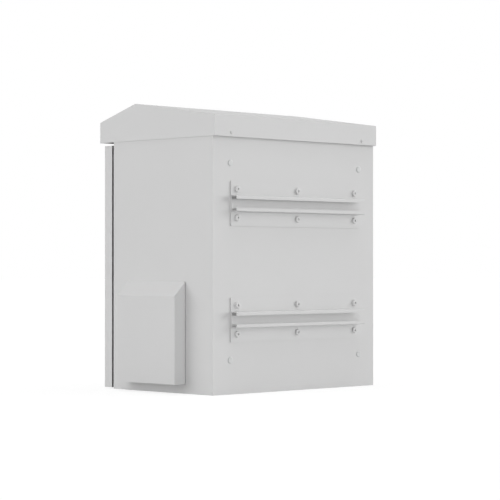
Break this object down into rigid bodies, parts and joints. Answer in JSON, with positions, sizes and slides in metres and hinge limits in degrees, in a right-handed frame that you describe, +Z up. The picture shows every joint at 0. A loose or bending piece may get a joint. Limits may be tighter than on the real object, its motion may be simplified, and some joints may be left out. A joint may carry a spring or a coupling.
{
  "type": "outdoor rack cabinet",
  "caption": "Outdoor sheet-steel rack cabinet with a hinged door, gable roof cap, vent hoods and slotted rails on the back for pole or wall mounting.",
  "frame": {"origin": "on the base plane, under the middle of the cabinet's overall width and depth", "axes": "+Z up, door facing -Y, pole rails facing +Y, intake hood on +X"},
  "size_m": [0.676, 0.4572, 0.7445],
  "materials": {
    "paint": "fine-textured light grey powder coat",
    "zinc_sheet": "zinc-coated sheet, dull",
    "zinc_hardware": "zinc-plated fasteners and guard",
    "lock_metal": "die-cast zinc, satin plated",
    "black_plastic": "moulded, matt black",
    "filter_fleece": "white polyester fleece",
    "grey_plastic": "moulded light grey",
    "seal_foam": "poured black foam",
    "grommet_rubber": "moulded black rubber",
    "brass": "turned brass"
  },
  "bodies": {
    "cabinet": {"wall_left": "paint", "wall_right": "paint", "back_panel": "paint", "base_panel": "paint", "top_panel": "paint", "front_frame": "paint", "roof_cover": "paint", "roof_screws": "paint", "intake_hood": "paint", "exhaust_hood": "paint", "bracket_plate_lower": "paint", "bracket_plate_upper": "paint", "slot_rail_lower": "paint", "slot_rail_upper": "paint", "bracket_screws_lower": "paint", "bracket_screws_upper": "paint", "roof_support_left": "zinc_sheet", "roof_support_right": "zinc_sheet", "roof_straps": "zinc_sheet", "rack_rail_left": "zinc_sheet", "rack_rail_right": "zinc_sheet", "carrier_lower_left": "zinc_sheet", "carrier_lower_right": "zinc_sheet", "carrier_upper_left": "zinc_sheet", "carrier_upper_right": "zinc_sheet", "entry_plate": "zinc_sheet", "hinge_bracket_lower": "zinc_sheet", "hinge_bracket_upper": "zinc_sheet", "roof_spacers": "zinc_hardware", "roof_nuts": "zinc_hardware", "hood_screws": "zinc_hardware", "fan_guard": "zinc_hardware", "fan_screws": "zinc_hardware", "rail_screws": "zinc_hardware", "rail_nuts": "zinc_hardware", "bracket_nuts": "zinc_hardware", "entry_screws": "zinc_hardware", "hinge_pin_lower": "zinc_hardware", "hinge_pin_upper": "zinc_hardware", "filter_frame": "black_plastic", "fan_frame": "black_plastic", "filter_mat": "filter_fleece", "wall_plugs": "grey_plastic", "entry_seal": "seal_foam", "cable_grommets": "grommet_rubber", "earth_stud": "brass"},
    "door": {"door_panel": "paint", "door_seal": "seal_foam", "door_stiffeners": "paint", "hinge_knuckles_lower": "zinc_sheet", "hinge_knuckles_upper": "zinc_sheet", "lock_housing_lower": "lock_metal", "lock_housing_upper": "lock_metal", "lock_nuts": "lock_metal"},
    "lock_lower": {"lock_spindle_lower": "lock_metal", "lock_cam_lower": "zinc_hardware"},
    "lock_upper": {"lock_spindle_upper": "lock_metal", "lock_cam_upper": "zinc_hardware"},
    "fan": {"fan_rotor": "black_plastic"}
  },
  "joints": [
    {"name": "door_hinge", "type": "hinge", "parent": "cabinet", "child": "door", "pos_m": [-0.286, -0.1954, 0.32175], "axis": [0, 0, -1], "range_deg": [0, 115]},
    {"name": "lock_lower_turn", "type": "hinge", "parent": "door", "child": "lock_lower", "pos_m": [0.225, -0.2099, 0.1805], "axis": [0, -1, 0], "range_deg": [0, 90]},
    {"name": "lock_upper_turn", "type": "hinge", "parent": "door", "child": "lock_upper", "pos_m": [0.225, -0.2099, 0.463], "axis": [0, -1, 0], "range_deg": [0, 90]},
    {"name": "fan_spin", "type": "hinge", "parent": "cabinet", "child": "fan", "pos_m": [-0.2985, -0.00615, 0.48295], "axis": [1, 0, 0], "continuous": true}
  ]
}
